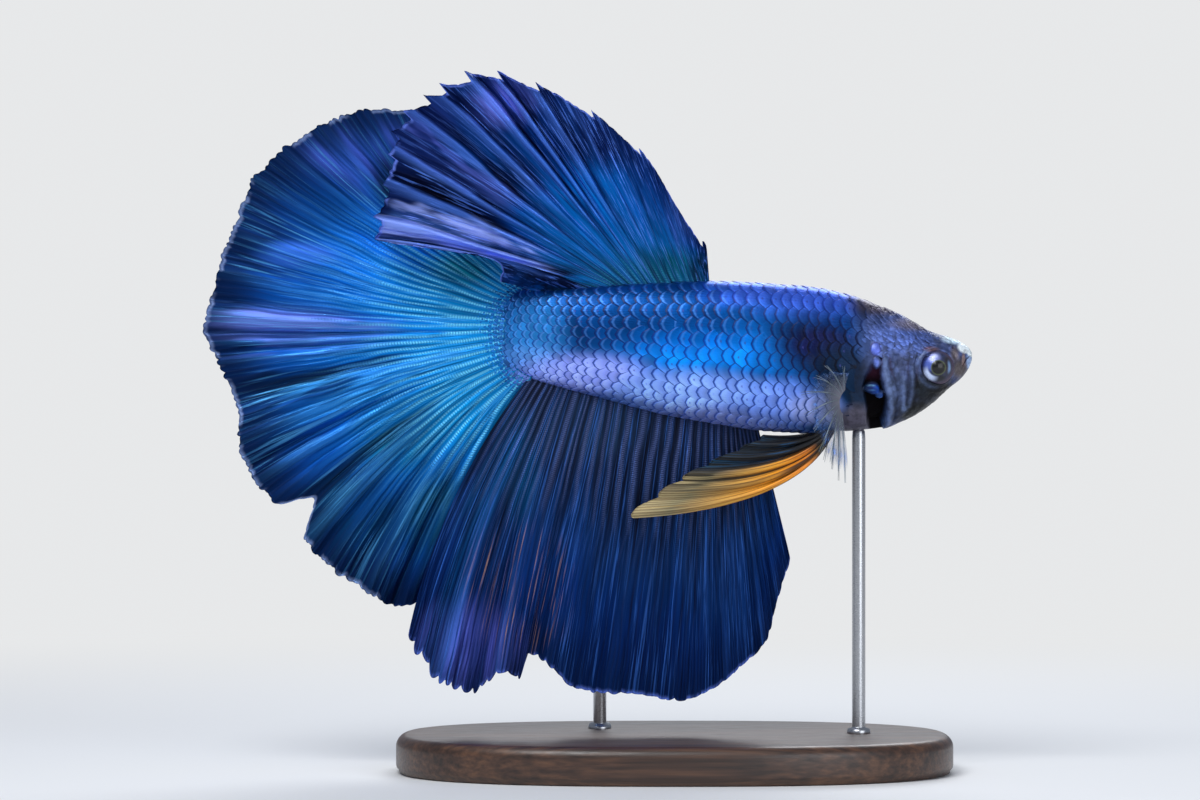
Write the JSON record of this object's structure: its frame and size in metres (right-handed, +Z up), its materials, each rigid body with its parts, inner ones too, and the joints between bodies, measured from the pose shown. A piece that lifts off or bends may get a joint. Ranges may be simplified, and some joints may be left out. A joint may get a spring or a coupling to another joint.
{
  "type": "betta fish",
  "caption": "Life-size still model of a male halfmoon betta with spread dorsal, tail and anal fins, held level on a plain oval display stand by slim rods.",
  "frame": {"origin": "on the floor, at the middle of the model's box: under the fish's tail half, inside the stand base's outline", "axes": "+X towards the snout, +Y towards the fish's left side, +Z up"},
  "size_m": [0.0685, 0.034, 0.0632],
  "materials": {
    "body": "iridescent scaled skin",
    "head": "satin skin with iridescent patches",
    "gill": "satin skin with iridescent patches",
    "fin": "satin membrane with iridescent rays",
    "tail": "satin membrane with iridescent rays",
    "pelvic": "satin membrane",
    "clear": "clear thin membrane",
    "eye": "wet gloss",
    "base": "dark stained, satin",
    "rod": "brushed"
  },
  "bodies": {
    "root": {"head": "head", "lower_jaw": "head", "trunk": "body", "tail_stalk": "body", "gill_cover_left": "gill", "gill_cover_right": "gill", "eye_left": "eye", "eye_right": "eye", "dorsal_fin": "fin", "anal_fin": "fin", "tail_fin": "tail", "pelvic_fin_left": "pelvic", "pelvic_fin_right": "pelvic", "pectoral_fin_left": "clear", "pectoral_fin_right": "clear", "stand_base": "base", "stand_rod_front": "rod", "stand_rod_rear": "rod"}
  },
  "joints": []
}
